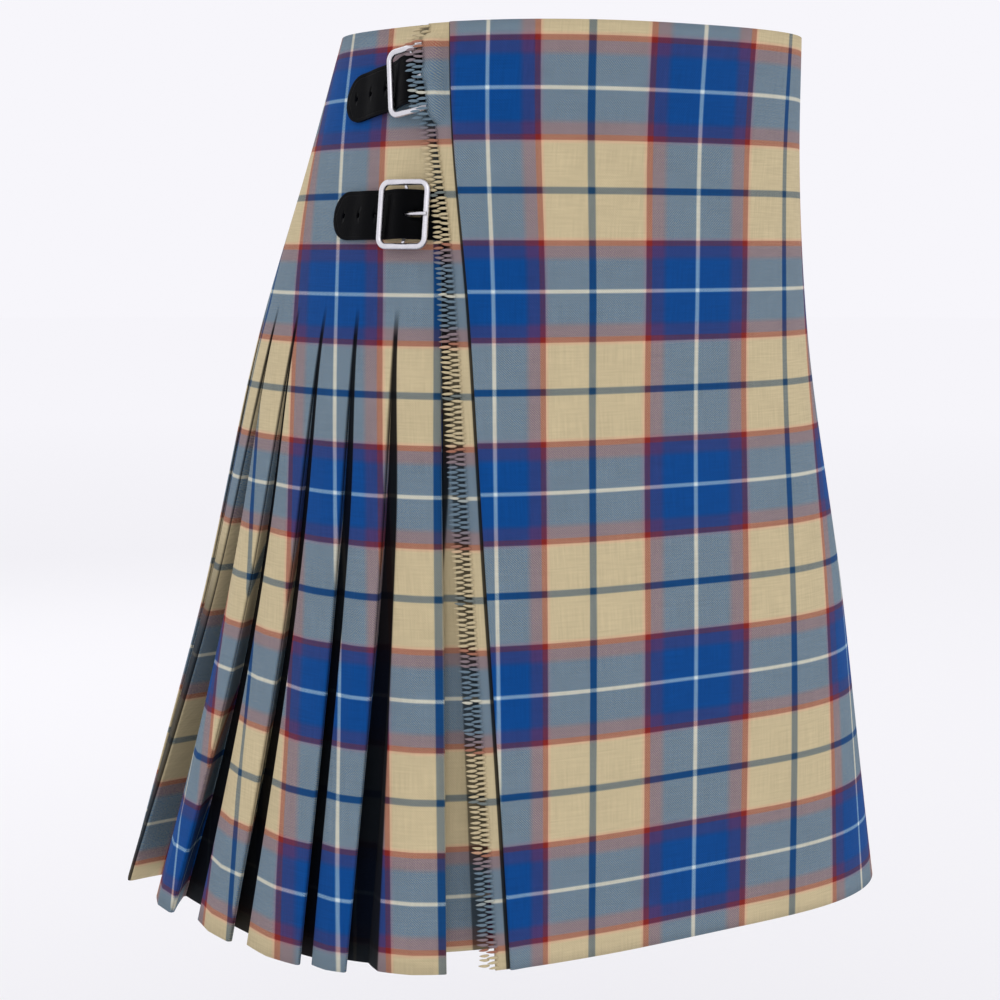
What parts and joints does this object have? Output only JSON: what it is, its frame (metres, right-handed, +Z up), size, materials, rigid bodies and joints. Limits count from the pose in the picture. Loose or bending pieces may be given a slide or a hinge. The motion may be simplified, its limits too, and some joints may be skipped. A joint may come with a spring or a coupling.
{
  "type": "kilt",
  "caption": "Worn tartan wrap kilt with a flat fringed front apron, knife-pleated back and leather straps with metal buckles at the waist and hip.",
  "frame": {"origin": "centre of the waist, level with the top edge", "axes": "+Z up; -Y is the wearer's front, -X the wearer's right"},
  "size_m": [0.524, 0.4521, 0.6106],
  "materials": {
    "tartan_wool": "matte twill",
    "black_leather": "satin",
    "plated_metal": "polished"
  },
  "bodies": {
    "root": {"outer_apron": "tartan_wool", "fringe_strip": "tartan_wool", "fringe": "tartan_wool", "under_apron": "tartan_wool", "pleated_back": "tartan_wool", "strap_right_waist": "black_leather", "strap_right_hip": "black_leather", "strap_left_waist": "black_leather", "buckle_right_waist": "plated_metal", "buckle_right_hip": "plated_metal", "buckle_left_waist": "plated_metal", "prong_right_waist": "plated_metal", "prong_right_hip": "plated_metal", "prong_left_waist": "plated_metal", "tab_right_waist": "black_leather", "tab_right_hip": "black_leather", "tab_left_waist": "black_leather"}
  },
  "joints": []
}
